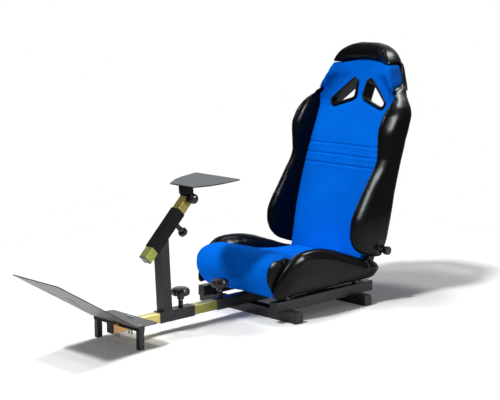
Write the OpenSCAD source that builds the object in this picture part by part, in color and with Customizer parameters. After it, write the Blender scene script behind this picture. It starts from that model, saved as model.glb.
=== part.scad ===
// Driving-rig seat: a bucket seat on a welded floor frame, with a telescoping beam that carries
// the pedal plate and a sliding post for the steering-wheel deck.
// Axes: +Z up, +Y towards the back of the seat, +X to the sitter's left.
// Origin: centre of the front cross bar's underside, on the floor.

/* [Floor frame] */
// outside width of the square steel tube
tube = 38; // [32:1:45]
// wall of every square tube
tube_wall = 2; // [1.5:0.1:2]
// length of each cross bar
bar_len = 496; // [460:2:560]
// distance between the two cross bars
bar_pitch = 372; // [340:2:400]
// width of a side rail
rail_w = 31.6; // [30:0.2:36]
// distance between the outer faces of the side rails
rail_gauge = 406; // [396:2:420]
// length of a side rail
rail_len = 514; // [490:2:540]
// how far a side rail stands out in front of the front bar's centre
rail_front = 66; // [50:1:90]

/* [Telescoping beam] */
// front end of the fixed receiver, in front of the origin
receiver_front = 177; // [160:1:190]
// front end of the beam, in front of the origin
beam_front = 644; // [640:1:700]
// length of the sliding beam
beam_len = 752; // [740:1:800]
// gap between telescoping tubes, each side
slide_fit = 0.3; // [0.2:0.05:0.4]

/* [Pedal plate] */
// width of the pedal plate
pedal_w = 244; // [220:2:300]
// length of the sloping part
pedal_len = 362; // [300:2:380]
// slope of the sloping part
pedal_slope = 31.2; // [25:0.2:36]
// length of the flat part
pedal_flat = 92; // [85:1:100]
// thickness of the pedal plate
pedal_t = 3.2; // [2.5:0.1:4]
// distance between the centres of the two legs
leg_gauge = 222; // [200:2:230]

/* [Post and column] */
// front end of the sliding sleeve, in front of the origin
sleeve_front = 442; // [430:1:450]
// length of the sliding sleeve
sleeve_len = 158; // [150:1:165]
// front face of the post, in front of the origin
post_front = 427; // [420:1:430]
// how far the post leans forward
post_lean = 3; // [0:0.5:5]
// height of the middle of the column tube
column_z = 354.6; // [340:0.2:370]
// length of the outer column tube
column_len = 167; // [150:1:175]
// how far the inner tube shows below the outer one
column_drop = 43; // [35:1:45]
// distance from the middle of the column to the deck's pivot
pivot_reach = 142; // [138:1:150]

/* [Wheel deck] */
// width of the deck's back edge
deck_back_w = 230; // [200:2:240]
// width of the deck's front edge
deck_front_w = 130; // [100:2:140]
// length of the deck, front to back
deck_len = 171; // [160:1:190]
// tilt of the deck, back edge up
deck_tilt = 5; // [0:0.5:8]
// thickness of the deck plate
deck_t = 4; // [3:0.5:5]

/* [Clamp knobs] */
// diameter of the two knobs on the beam
knob_d = 64; // [56:1:66]
// diameter of the two knobs on the column
small_knob_d = 36; // [32:1:44]
// radius of a knob's screw
stud_r = 5; // [4:0.5:6]

/* [Seat] */
// width of the seat back at the shoulders
back_w = 500; // [490:2:510]
// width of the seat cushion
cushion_w = 462; // [456:2:476]
// height of the recline pivot
pivot_z = 195; // [190:1:200]
// depth of a sewn line in the seat back
seam_depth = 4; // [2:0.5:6]

/* [Hidden] */
$fn = 40;
run_fit = 0.05;
seat_gap = 0.3;
beam_w = tube - 2 * tube_wall - 2 * slide_fit;
bore_r = stud_r + run_fit;
rail_x = (rail_gauge - rail_w) / 2;
top_z = 2 * tube;
mid_z = 1.5 * tube;
beam_top = mid_z + beam_w / 2;
beam_under = mid_z - beam_w / 2;
receiver_len = receiver_front + bar_pitch + tube / 2;
receiver_knob_y = -148;
sleeve_knob_y = -335;
frame_bolt_r = 4;
bolt_head_h = 5;
frame_hole_r = 4.2;
nut_r = 8.5;
nut_h = 24;
cap_t = 3;
bridge_t = 3;
bridge_d = 26;
bridge_h = 14;
leg_w = 17;
leg_y = -609;
foot_t = 4;
bend_y = -(beam_front - 14);
pedal_z = beam_top + bridge_t;
pedal_hole_r = 3.2;
beam_bolt_y = [-615, -560];
beam_bolt_x = 7;
leg_bolt_y = leg_y - 4;
leg_x = leg_gauge / 2;
post_y = -post_front + tube / 2;
column_setback = 6.4;
column_y = post_y + column_setback;
column_knob_t = 44;
ear_in = beam_w / 2 + 0.6;
ear_t = 3.2;
ear_out = ear_in + ear_t;
pivot_y = column_y + pivot_reach * sin(45);
deck_pivot_z = column_z + pivot_reach * cos(45);
deck_lift = 45;
deck_start = -21.5;
spacer_h = 6;
seat_datum = 76;
pan_z = seat_datum + spacer_h;
pan_t = 2;
pan_w = 372;
pan_front = -30;
pan_back = 432;
cushion_z = pan_z + pan_t + seat_gap;
back_y = 472;
plate_in = 178;
plate_t = 4;
arm_t = 4;
rod_r = 8;
hoop_r = 9;
arm_out = plate_in - 0.5;
hoop_x = arm_out - arm_t - hoop_r;
hoop_low = 262;
hoop_top = 676;
shell_t = 4;
cavity = 24;
cap_z = 880;
neck_z = 796;
hole_z = 760;
hole_x = 76;
hole_wall = 3.5;
lip_w = 5;
lip_t = 4;

// ---------- shared shapes ----------

// Square tube along +Z, centred on the axis.
module box_tube(w, len, wall = tube_wall, d = 0) {
    depth = d == 0 ? w : d;
    difference() {
        translate([-w / 2, -depth / 2, 0]) cube([w, depth, len]);
        translate([-w / 2 + wall, -depth / 2 + wall, -1])
            cube([w - 2 * wall, depth - 2 * wall, len + 2]);
    }
}

// Turns a shape built along +Z to run along +Y, or along +X.
module along_y() { rotate([-90, 0, 0]) children(); }
module along_x() { rotate([0, 90, 0]) children(); }

// Plastic end plug: a flange and a shank that fits the bore of a square tube.
module end_plug(w, d, wall = tube_wall) {
    translate([-w / 2, -d / 2, 0]) cube([w, d, cap_t]);
    translate([-w / 2 + wall + 0.1, -d / 2 + wall + 0.1, -12])
        cube([w - 2 * wall - 0.2, d - 2 * wall - 0.2, 12.2]);
}

// Hex-head bolt along -Z, its head standing on z = 0.
module hex_bolt(r, len, head_h = 4) {
    cylinder(r = 1.75 * r, h = head_h, $fn = 6);
    translate([0, 0, -len]) cylinder(r = r, h = len + 0.1);
}

// Weld nut: a round boss with the screw's running bore.
module weld_nut() {
    difference() {
        cylinder(r = nut_r, h = nut_h);
        translate([0, 0, -1]) cylinder(r = bore_r, h = nut_h + 2);
    }
}

// Lobed clamp knob standing on z = 0: neck, flared skirt and a domed cap with finger cuts.
module lobed_knob(d, h, neck = 13) {
    r = d / 2;
    hub = min(12.5, 0.56 * r);
    difference() {
        rotate_extrude()
            polygon([[0, 0], [hub - 1.5, 0], [hub - 0.5, 1], [hub, neck], [0.81 * r, neck + 1],
                [0.97 * r, neck + 4], [r, neck + 8], [r, h - 11], [0.91 * r, h - 5], [0.69 * r, h - 1.5],
                [0.47 * r, h], [0, h]]);
        for (a = [0:60:300])
            rotate(a) translate([1.14 * r, 0, neck - 3]) cylinder(r = 0.27 * r, h = h);
        translate([0, 0, -1]) cylinder(r = stud_r + run_fit, h = neck + 6);
    }
}

// Screw of a clamp knob: it runs through the nut and ends just above the inner tube.
module clamp_stud(reach, neck = 13) {
    translate([0, 0, -reach]) cylinder(r = stud_r, h = reach + neck + 4.8);
}

// Closed skin through a list of rings, all with the same number of points; every face is a triangle,
// and across says which way the quads between two rings are split.
module skin(rings, across = false) {
    n = len(rings[0]);
    m = len(rings);
    mean = function(ring) [for (k = [0:2]) [for (p = ring) p[k]] * [for (p = ring) 1] / n];
    points = concat([for (ring = rings) for (p = ring) p], [mean(rings[0]), mean(rings[m - 1])]);
    sides = [for (i = [0:m - 2]) for (j = [0:n - 1]) for (half = [0, 1])
        let (a = i * n + j, b = i * n + (j + 1) % n, c = a + n, d = b + n)
        half == 0 ? [a, c, across ? d : b] : [across ? a : b, across ? d : c, across ? b : d]];
    ends = [for (j = [0:n - 1]) for (e = [0, 1])
        let (a = j, b = (j + 1) % n, top = (m - 1) * n)
        e == 0 ? [n * m, a, b] : [n * m + 1, top + b, top + a]];
    polyhedron(points, concat(sides, ends), convexity = 6);
}

// ---------- floor frame ----------

module cross_bar(y) {
    difference() {
        translate([-bar_len / 2, y, tube / 2]) along_x() box_tube(tube, bar_len);
        for (s = [-1, 1]) translate([s * rail_x, y, tube - 5]) cylinder(r = frame_hole_r, h = 10);
    }
}

module front_bar() { color("#2b2d30") cross_bar(0); }
module rear_bar() { color("#2b2d30") cross_bar(bar_pitch); }

module bar_caps() {
    color("#17181a") for (y = [0, bar_pitch], s = [-1, 1])
        translate([s * bar_len / 2, y, tube / 2]) rotate([0, s * 90, 0]) end_plug(tube, tube);
}

module rail(s) {
    color("#2b2d30") difference() {
        translate([s * rail_x, -rail_front, mid_z]) along_y() box_tube(rail_w, rail_len, tube_wall, tube);
        for (y = [0, bar_pitch]) translate([s * rail_x, y, tube - 1]) cylinder(r = frame_hole_r, h = tube + 2);
    }
}

module rail_left() { rail(1); }
module rail_right() { rail(-1); }

module rail_caps() {
    color("#17181a") for (s = [-1, 1]) {
        translate([s * rail_x, -rail_front, mid_z]) rotate([90, 0, 0]) end_plug(rail_w, tube);
        translate([s * rail_x, rail_len - rail_front, mid_z]) rotate([-90, 0, 0]) end_plug(rail_w, tube);
    }
}

module receiver() {
    color("#1f2123") difference() {
        translate([0, -receiver_front, mid_z]) along_y() box_tube(tube, receiver_len);
        translate([0, receiver_knob_y, top_z - 5]) cylinder(r = bore_r, h = 10);
    }
}

module receiver_nut() {
    color("#1f2123") translate([0, receiver_knob_y, top_z]) weld_nut();
}

// Bolts that hold each side rail and the pan's spacers down on the cross bars.
module frame_bolts() {
    color("#8a8d90") for (s = [-1, 1], y = [0, bar_pitch])
        translate([s * rail_x, y, top_z + spacer_h + pan_t])
            hex_bolt(frame_bolt_r, top_z + spacer_h + pan_t - tube + 6, bolt_head_h);
}

module pan_spacers() {
    color("#1f2123") for (s = [-1, 1], y = [0, bar_pitch])
        translate([s * rail_x, y, top_z]) difference() {
            cylinder(r = 13, h = spacer_h);
            translate([0, 0, -1]) cylinder(r = frame_hole_r, h = spacer_h + 2);
        }
}

// Lifts the seat, whose tables are heights over the floor, with the tops of the side rails.
module on_rails() { translate([0, 0, top_z - seat_datum]) children(); }

// Room over the heads of the pan's bolts.
module bolt_pockets() {
    for (s = [-1, 1], y = [0, bar_pitch])
        translate([s * rail_x, y, pan_z]) cylinder(r = 9, h = pan_t + bolt_head_h + 1);
}

// Pressed seat pan: sheet with two stiffening ribs, four ears over the rails and a rear flange.
module seat_pan() {
    ear = rail_gauge - 8;
    flange = 2 * plate_in - 14;
    color("#26282a") on_rails() difference() {
        union() {
            translate([-pan_w / 2, pan_front, pan_z]) cube([pan_w, pan_back - pan_front, pan_t]);
            for (y = [0, bar_pitch]) translate([-ear / 2, y - 22, pan_z]) cube([ear, 44, pan_t]);
            for (x = [-90, 90]) translate([x, pan_front + 30, pan_z])
                intersection() {
                    along_y() cylinder(r = 5, h = pan_back - pan_front - 60);
                    translate([-6, 0, -6]) cube([12, pan_back - pan_front, 6.1]);
                }
            translate([-flange / 2, pan_back - pan_t, pan_z]) cube([flange, pan_t, 26]);
        }
        for (s = [-1, 1], y = [0, bar_pitch])
            translate([s * rail_x, y, pan_z - 1]) cylinder(r = frame_hole_r, h = pan_t + 2);
    }
}

// ---------- seat cushion ----------

// Height of the cushion's top along y: front roll, hollow for the thighs, level at the back.
panel_top = [[-104, 172], [-101, 192], [-92, 210], [-74, 223], [-44, 231], [-10, 231], [30, 222],
    [70, 210], [110, 199], [160, 188], [220, 180], [300, 174], [396, 168]];
// Underside of the front roll, drawn back to the pan.
panel_under = [[-104, 164], [-101, 148], [-92, 130], [-74, 104], [-54, 88], [-44, cushion_z],
    [396, cushion_z]];
// Half width of the blue panel along y.
panel_half = [[-104, 172], [-101, 180], [-92, 187], [-74, 189], [20, 188], [110, 178], [220, 166],
    [396, 158]];
cushion_crown = 7;

function cushion_ring(y) =
    let (w = lookup(y, panel_half), t = lookup(y, panel_top), u = lookup(y, panel_under),
        h = t - u, r = min(12, h / 2.5))
    concat(
        [for (k = [-3:3]) [w * k / 3.5, y, u]],
        [[w - 2, y, u + 0.15 * h], [w, y, u + 0.5 * h], [w - 1, y, t - r], [w - 6, y, t - 0.3 * r]],
        [for (k = [4:-1:-4]) let (x = k / 4.6) [w * x, y, t + cushion_crown * (1 - x * x)]],
        [[-w + 6, y, t - 0.3 * r], [-w + 1, y, t - r], [-w, y, u + 0.5 * h], [-w + 2, y, u + 0.15 * h]]);

module cushion_panel() {
    stations = [396, 385, 300, 220, 160, 110, 70, 20, -10, -44, -74, -92, -101, -104];
    color("#0a4fd0") on_rails() difference() {
        skin([for (y = stations) cushion_ring(y)]);
        bolt_pockets();
    }
}

// Side bolster of the cushion along y: height of its crest, its underside and its outer half width.
bolster_top = [[-77, 112], [-74, 131], [-66, 150], [-54, 168], [-39, 189], [-14, 216], [12, 234],
    [48, 246], [106, 249], [154, 245], [208, 234], [263, 216], [319, 197], [376, 177], [437, 160],
    [462, 147], [474, 132]];
bolster_under = [[-77, 96], [-66, 86], [-54, cushion_z], [430, cushion_z], [462, 94], [474, 112]];
bolster_half = [[-77, 199], [-66, 205], [-39, 215], [-14, 223], [12, 228], [48, 231], [430, 231],
    [462, 225], [474, 214]];
bolster_foot = 209;
bolster_back = 398;
// its underside is raised over the rail, clear of the bolt heads, behind a lip on the outside
head_room = bolt_head_h + 1;

function bolster_ring(y) =
    let (t = lookup(y, bolster_top), u = lookup(y, bolster_under), h = t - u,
        x0 = y >= bolster_back ? plate_in + plate_t + 4 : lookup(y, panel_half) + seat_gap,
        x1 = lookup(y, bolster_half) * cushion_w / 462, xf = min(x1, bolster_foot),
        c = x0 + 0.56 * (x1 - x0), r = min((x1 - x0) * 0.62, h * 0.48),
        xm = max(xf - 13, (x0 + xf) / 2), um = u + min(head_room, 0.3 * h))
    concat(
        [[xm, y, um], [xm + 1, y, u], [xf - 5, y, u], [xf, y, u + min(9, h * 0.15)],
            [xf + 0.7 * (x1 - xf), y, u + 0.45 * h]],
        [for (q = [0:22.5:180]) [c + (q < 90 ? x1 - c : c - x0) * cos(q), y, t - r + r * sin(q)]],
        [[x0, y, u + 0.45 * h], [x0, y, um]]);

module cushion_bolster(s) {
    stations = [474, 462, 437, 398, 397, 350, 300, 255, 220, 190, 150, 110, 75, 48, 20, 12, -14, -39,
        -54, -66, -74, -77];
    color("#18191b") on_rails() mirror([s < 0 ? 1 : 0, 0, 0]) skin([for (y = stations) bolster_ring(y)]);
}

module cushion_bolster_left() { cushion_bolster(1); }
module cushion_bolster_right() { cushion_bolster(-1); }

// ---------- recliner ----------

// Fixed side plate: rises from its foot on the pan's rear corner to the pivot.
module recliner_plate(s) {
    color("#303336") on_rails() difference() {
        union() {
            translate([s > 0 ? plate_in : -plate_in - plate_t, 0, 0]) along_x() linear_extrude(plate_t)
                polygon([[-pan_z - pan_t, back_y - 62], [-pan_z - pan_t, back_y - 16],
                    [-pivot_z + 24, back_y + 18], [-pivot_z + 10, back_y + 23], [-pivot_z - 8, back_y + 23],
                    [-pivot_z - 20, back_y + 12], [-pivot_z - 22, back_y - 4], [-pivot_z - 16, back_y - 18],
                    [-pivot_z + 2, back_y - 24], [-pivot_z + 42, back_y - 27]]);
            translate([s > 0 ? plate_in - 16 : -plate_in, back_y - 62, pan_z + pan_t]) cube([16, 20, 3]);
        }
        translate([s * plate_in - 10, back_y, pivot_z]) along_x() cylinder(r = rod_r + run_fit, h = 20);
    }
}

module recliner_plate_left() { recliner_plate(1); }
module recliner_plate_right() { recliner_plate(-1); }

// Moving arm: a flat link from the pivot up to the foot of the hoop.
module back_arm(s) {
    arm_x = s > 0 ? arm_out - arm_t : -arm_out;
    foot = hoop_low + 28;
    rear = lookup(foot, rear_y) - shell_t;
    color("#303336") on_rails() difference() {
        translate([arm_x, 0, 0]) along_x() linear_extrude(arm_t)
            polygon([[-pivot_z + 14, back_y - 7], [-pivot_z + 14, back_y + 8], [-pivot_z, back_y + 16],
                [-foot, rear - 4], [-foot, rear - cavity + 1], [-pivot_z - 45, back_y + 16],
                [-pivot_z - 20, back_y - 10], [-pivot_z, back_y - 16]]);
        translate([arm_x - 3, back_y, pivot_z]) along_x() cylinder(r = rod_r + 0.02, h = 10);
    }
}

module back_arm_left() { back_arm(1); }
module back_arm_right() { back_arm(-1); }

module pivot_rod() {
    half = plate_in + plate_t + 2;
    color("#8a8d90") on_rails() translate([-half, back_y, pivot_z]) along_x()
        cylinder(r = rod_r, h = 2 * half);
}

// ---------- seat back ----------
// Each table gives one measure of the seat back against height.

back_half = [[168, 222], [195, 230], [240, 235], [310, 236], [410, 233], [500, 236], [590, 245],
    [640, 250], [690, 251], [715, 243], [740, 225], [765, 203], [796, 180], [836, 161], [870, 150],
    [905, 131], [930, 108], [946, 82], [953, 58], [957, 40]];
seam_half = [[150, 182.5], [182, 184.5], [300, 196.5], [640, 198.5], [700, 197.5], [735, 201.5],
    [765, 195.5], [780, 188.5], [796, 176.5]];
crest_y = [[166, 440], [180, 395], [195, 356], [215, 330], [240, 312], [275, 303], [310, 305],
    [350, 322], [410, 362], [470, 404], [510, 434], [545, 447], [590, 447], [640, 449], [680, 468],
    [710, 490], [740, 522], [751, 540], [765, 556], [780, 570], [790, 588],
    [801, 622], [808, 654], [820, 700]];
front_y = [[150, 401], [173, 407], [491, 497], [758, 601], [816, 620], [870, 634], [897, 642]];
wing_y = [[150, 4], [700, 4], [738, 13], [755, 26], [778, 44], [796, 52], [836, 54], [870, 46], [907, 36]];
rear_y = [[150, 488], [168, 493], [560, 593], [600, 600], [690, 625], [740, 641], [808, 680],
    [858, 688], [915, 686], [946, 674], [957, 662]];

half_scale = back_w / 504;
function half_at(z) = lookup(z, back_half) * half_scale;
function seam_at(z) = z > neck_z ? half_at(z) : min(lookup(z, seam_half), half_at(z) - 0.5);
function shell_half(z) = min(half_at(z) - 24, back_w * 0.428);
// the recline knob stands clear of the widest bolster
recline_knob_x = half_at(pivot_z) + 8;

// Dish of the rear cover between its edges, behind the harness holes.
function dish(z, x) = 15 * lookup(z, [[670, 0], [700, 0.6], [730, 1], [800, 1], [830, 0.6], [860, 0]])
    * min(1, 2.5 * max(0, 0.8 - abs(x)));

// Everything on one side, up or down, of the line under the headrest cap: level at the sides,
// arched in the middle.
module cap_line(side, lift = 0) {
    w = half_at(cap_z) + 10;
    line = [for (j = [-12:12]) [w * j / 12, cap_z + lift + cap_rise * max(0, 1 - pow(j / 8.5, 2))]];
    translate([0, 720, 0]) rotate([90, 0, 0]) linear_extrude(170)
        polygon(concat([[-w, cap_z + side * 70]], line, [[w, cap_z + side * 70]]));
}
cap_rise = 19;

// Above the neck the side bolsters carry on as a narrow strip at the rear corner of the panel.
strip_w = 16;
strip_d = 24;
neck_steps = [neck_z, neck_z + 1, neck_z + 2, 801, 808, 820, 836, 858, cap_z];
function nose_at(z) = min(lookup(z, crest_y), lookup(z, rear_y) - shell_t - strip_d);

// Sewn lines: a shallow valley at each height, sunk into the front of the panel.
seams = [491, 528, 567];
function valley(z) = seam_depth * max([for (s = seams) max(0, 1 - abs(z - s) / 5)]);

function back_ring(z) =
    let (p = seam_at(z), k = min(1, max(0, (z - neck_z) / 44)), g = min(1, max(0, (z - 745) / 20)),
        f = lookup(z, front_y), e = lookup(z, wing_y), v = valley(z),
        b = lookup(z, rear_y) - shell_t - (cavity + (z < 236 ? 30 : 0)) * (1 - g),
        up = z > neck_z, m = up ? nose_at(z) : f - e + (b - f + e) * 0.45,
        q = up ? p - strip_w : p - 10 * g)
    concat(
        [for (j = [-6:6]) let (x = j / 6, a = abs(x))
            [(p - 10 * k) * x, f - e * pow(a, 5) + (a < 0.95 ? v : 0), z]],
        [[p - 2 * k, f - e + 14 * k + 3 * (1 - k), z], [p, m, z], [q, up ? m : b - 12, z], [q, b, z]],
        [for (j = [5:-1:-5]) let (x = j / 5)
            [min(shell_half(z), p - 8) * x, b - g * (dish(z, x) + seat_gap), z]],
        [[-q, b, z], [-q, up ? m : b - 12, z], [-p, m, z],
            [-p + 2 * k, f - e + 14 * k + 3 * (1 - k), z]]);

module back_panel() {
    stations = concat([160, 182, 234, 238, 300, 380, 450, 486, 491, 496, 523, 528, 533, 562, 567, 572,
        640, 700, 735, 745, 765, 780, 790], neck_steps, [cap_z + cap_rise + 2]);
    color("#0a4fd0") on_rails() difference() {
        skin([for (z = stations) back_ring(z)]);
        cap_line(1);
        for (s = [-1, 1]) {
            harness_prism(s, hole_wall, -40, 140);
            harness_prism(s, hole_wall + lip_w + 0.05, -40, -lip_t);
        }
    }
}

// Side bolster: inner wall on the seam, a rounded crest that leans forward, outer wall to the rear.
function side_ring(z) = z > neck_z + 1 ? strip_ring(z) :
    let (x0 = seam_at(z) + 2 * run_fit, x1 = max(half_at(z), seam_at(z) + 3),
        s = lookup(z, front_y) - lookup(z, wing_y),
        b = lookup(z, rear_y) - shell_t - run_fit - 10 * min(1, max(0, (z - 765) / 25)),
        n = min(lookup(z, crest_y), lookup(z, rear_y) - 30),
        xi = min(x0 + 5, x1 - 1), c = (xi + x1) / 2, a = (x1 - xi) / 2, d = min(42, (b - n) * 0.45))
    concat(
        [[x0, b, z], [x0, (b + max(s, n + d)) / 2, z], [x0, max(s, n + d + 1), z]],
        [for (q = [180:-22.5:0]) [c + a * cos(q), n + d - d * sin(q), z]],
        [[x1, (n + d + b) / 2, z], [x1 - min(2, a / 2), b - 22, z], [x1 - min(10, a), b - 6, z],
            [x1 - min(22, 1.6 * a), b, z]]);

function strip_ring(z) =
    let (x1 = half_at(z), x0 = x1 - strip_w + 2 * run_fit, b = lookup(z, rear_y) - shell_t,
        n = nose_at(z) + 2 * run_fit)
    concat([[x0, b, z], [x0, (b + n) / 2, z], [x0, n + 1, z]],
        [for (i = [0:8]) [x0 + strip_w * i / 8, n, z]],
        [[x1, (n + b) / 2, z], [x1 - 2, b - 10, z], [x1 - 6, b - 3, z], [x1 - 10, b, z]]);

module back_bolster(s) {
    stations = concat([166, 173, 182, 195, 215, 240, 270, 300, 350, 410, 470, 510, 560, 600, 640, 690,
        700, 718, 735, 740, 752, 765, 780, 790], neck_steps);
    bore = [plate_in - 28, half_at(pivot_z) + 20];
    color("#18191b") on_rails() difference() {
        mirror([s < 0 ? 1 : 0, 0, 0]) skin([for (z = stations) side_ring(z)]);
        translate([s > 0 ? bore[0] : -bore[1], back_y, pivot_z]) along_x()
            cylinder(r = rod_r + 6, h = bore[1] - bore[0]);
    }
}

module back_bolster_left() { back_bolster(1); }
module back_bolster_right() { back_bolster(-1); }

// Headrest cap: wraps the top of the seat back, front and rear.
function cap_ring(z) =
    let (p = half_at(z), f = lookup(z, [[880, 636], [897, 634], [920, 632], [936, 637], [950, 646], [957, 655]]),
        b = lookup(z, rear_y), e = lookup(z, [[880, 44], [905, 36], [930, 24], [946, 14], [957, 4]]),
        m = (f - e + b) / 2, h = (b - f + e) / 2)
    concat(
        [for (j = [-6:6]) let (x = j / 6)
            [(p - 10) * x, f - e * pow(abs(x), 4) - 6 * (1 - x * x), z]],
        [[p - 3, m - 0.62 * h, z], [p, m, z], [p - 5, m + 0.6 * h, z], [p - 14, m + 0.9 * h, z]],
        [for (j = [5:-1:-5]) let (x = j / 5) [max(8, p - 24) * x, b, z]],
        [[-p + 14, m + 0.9 * h, z], [-p + 5, m + 0.6 * h, z], [-p, m, z], [-p + 3, m - 0.62 * h, z]]);

module headrest_cap() {
    stations = [cap_z - 2, 896, 912, 926, 938, 947, 953, 957];
    color("#18191b") on_rails() difference() {
        skin([for (z = stations) cap_ring(z)]);
        cap_line(-1, seat_gap);
    }
}

// Rear cover: a thin curved sheet behind the foam.
function shell_ring(z) =
    let (p = shell_half(z), b = lookup(z, rear_y))
    concat([for (j = [-5:5]) let (x = j / 5) [p * x, b - shell_t - dish(z, x), z]],
        [for (j = [5:-1:-5]) let (x = j / 5) [p * x, b - dish(z, x), z]]);

module back_shell() {
    stations = concat([236, 300, 450, 560, 600, 670, 690, 700, 735, 745, 765, 780, 790], neck_steps,
        [cap_z + cap_rise + 2]);
    color("#1d1e20") on_rails() difference() {
        skin([for (z = stations) shell_ring(z)], across = true);
        cap_line(1);
        for (s = [-1, 1]) harness_prism(s, hole_wall, -40, 200);
    }
}

// Outline of a harness hole in the plane of the seat back: three rounded corners.
hole_corners = [[-36, 42], [43, -35], [-40, -6]];
function arc(c, r, from, to) = [for (k = [0:5]) let (q = from + (to - from) * k / 5)
    [c[0] + r * cos(q), c[1] + r * sin(q)]];
function hole_outline(grow) =
    let (r = 12 + grow)
    concat(arc(hole_corners[0], r, 174, 43), arc(hole_corners[1], r, 43, -109),
        arc(hole_corners[2], r, -109, -186));

// Prism of a harness hole, square to the upper part of the seat back.
module harness_prism(s, grow, from, to) {
    slope = atan(0.36);
    translate([0, lookup(hole_z, front_y), hole_z]) rotate([-slope, 0, 0])
        mirror([s < 0 ? 1 : 0, 0, 0]) translate([hole_x, from, 0]) rotate([-90, 0, 0])
            linear_extrude(to - from) mirror([0, 1]) polygon(hole_outline(grow));
}

module harness_bezel(s) {
    color("#101112") on_rails() difference() {
        union() {
            harness_prism(s, hole_wall - 0.1, -lip_t - 2, 46);
            harness_prism(s, hole_wall + lip_w, -lip_t - 3, -lip_t);
        }
        harness_prism(s, 0, -60, 150);
    }
}

module harness_bezel_left() { harness_bezel(1); }
module harness_bezel_right() { harness_bezel(-1); }

// Frame of the seat back, between the foam and the rear cover: two side tubes and a cross tube.
hoop_y = function(z) lookup(z, rear_y) - shell_t - hoop_r - 3;
hoop_lean = atan2(hoop_y(hoop_top) - hoop_y(hoop_low), hoop_top - hoop_low);

module hoop_tube(s) {
    len = (hoop_top - hoop_low) / cos(hoop_lean);
    color("#303336") on_rails() translate([s * hoop_x, hoop_y(hoop_low), hoop_low])
        rotate([-hoop_lean, 0, 0]) cylinder(r = hoop_r, h = len);
}

module hoop_tube_left() { hoop_tube(1); }
module hoop_tube_right() { hoop_tube(-1); }

module hoop_cross() {
    drop = hoop_r + 14;
    len = 2 * (hoop_x - hoop_r);
    color("#303336") on_rails() translate([-len / 2, hoop_y(hoop_top) - drop * tan(hoop_lean), hoop_top - drop])
        along_x() cylinder(r = hoop_r - 1, h = len);
}

module recline_shaft() {
    start = plate_in + plate_t + 2 + seat_gap;
    color("#8a8d90") on_rails() translate([start, back_y, pivot_z]) along_x() {
        cylinder(r = rod_r, h = 6);
        cylinder(r = stud_r, h = recline_knob_x + 10 - start);
    }
}

module recline_knob() {
    color("#141516") on_rails() translate([recline_knob_x, back_y, pivot_z]) along_x() difference() {
        union() {
            cylinder(r = 9, h = 8);
            translate([0, 0, 7]) cylinder(r = 16, h = 19);
        }
        for (a = [0:45:315]) rotate(a) translate([18.5, 0, 6]) cylinder(r = 4.5, h = 30);
        translate([0, 0, -1]) cylinder(r = stud_r + run_fit, h = 11);
    }
}

// ---------- telescoping beam and pedal plate ----------

module beam_tube() {
    color("#c9a83c") difference() {
        translate([0, -beam_front, mid_z]) along_y() box_tube(beam_w, beam_len);
        for (y = beam_bolt_y, s = [-1, 1])
            translate([s * beam_bolt_x, y, 0]) cylinder(r = pedal_hole_r, h = top_z);
    }
}

module beam_caps() {
    color("#141516") {
        translate([0, -beam_front, mid_z]) rotate([90, 0, 0]) end_plug(beam_w, beam_w);
        translate([0, beam_len - beam_front, mid_z]) rotate([-90, 0, 0]) end_plug(beam_w, beam_w);
    }
}

// Bent pedal plate: flat part on the bridge, sloping part with two slots.
module pedal_plate() {
    a = pedal_slope;
    r = 8;
    tip = [bend_y - pedal_len * cos(a), pedal_z + pedal_len * sin(a)];
    bend = [for (k = [0:4]) let (q = a * k / 4)
        [bend_y + r * tan(a / 2) - r * sin(q), pedal_z + r - r * cos(q)]];
    up = [for (k = [4:-1:0]) let (q = a * k / 4, i = r - pedal_t)
        [bend_y + r * tan(a / 2) - i * sin(q), pedal_z + r - i * cos(q)]];
    side = concat([[bend_y + pedal_flat, pedal_z]], bend, [tip],
        [tip + pedal_t * [sin(a), cos(a)]], up, [[bend_y + pedal_flat, pedal_z + pedal_t]]);
    c = 14;
    back = bend_y + pedal_flat;
    front = tip[0] - 5;
    w = pedal_w / 2;
    color("#a7abae") difference() {
        intersection() {
            translate([-w, 0, 0]) rotate([90, 0, 90]) linear_extrude(pedal_w) polygon(side);
            linear_extrude(400) polygon(concat([[-w, front], [w, front]],
                arc([w - c, back - c], c, 0, 90), arc([-w + c, back - c], c, 90, 180)));
        }
        translate([0, bend_y, pedal_z]) rotate([-a, 0, 0]) for (x = [-13, -98])
            translate([x, -203, 0]) slot_cut(x == -13 ? 56 : 44, 6);
        bolt_holes();
    }
}

// Holes for the bolts that hold the plate and the bridge on the beam and the legs.
module bolt_holes() {
    for (y = beam_bolt_y, s = [-1, 1])
        translate([s * beam_bolt_x, y, beam_top - 1]) cylinder(r = pedal_hole_r, h = 12);
    for (x = [-leg_x, leg_x]) translate([x, leg_bolt_y, beam_top - 1]) cylinder(r = pedal_hole_r, h = 12);
}

// Slot along X with round ends, cut through z = 0.
module slot_cut(len, w) {
    translate([-len / 2 + w / 2, -w / 2, -8]) cube([len - w, w, 16]);
    for (s = [-1, 1]) translate([s * (len - w) / 2, 0, -8]) cylinder(r = w / 2, h = 16);
}

// Channel across the top of the beam from leg to leg, its flanges notched over the beam, with a
// tongue that runs back along the beam under the flat part of the plate.
module leg_bridge() {
    half = leg_x + leg_w / 2;
    tongue = bend_y + pedal_flat - 8 - leg_y;
    color("#1a1b1d") difference() {
        union() {
            translate([-half, leg_y - bridge_d / 2, pedal_z - bridge_h]) cube([2 * half, bridge_d, bridge_h]);
            translate([-beam_w / 2, leg_y, beam_top]) cube([beam_w, tongue, bridge_t]);
        }
        translate([-half - 1, leg_y - bridge_d / 2 + 2.5, pedal_z - bridge_h - 1])
            cube([2 * half + 2, bridge_d - 5, bridge_h - bridge_t + 1]);
        translate([-beam_w / 2 - seat_gap, leg_y - bridge_d, pedal_z - bridge_h - 1])
            cube([beam_w + 2 * seat_gap, 2 * bridge_d, bridge_h - bridge_t + 1]);
        bolt_holes();
    }
}

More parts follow.
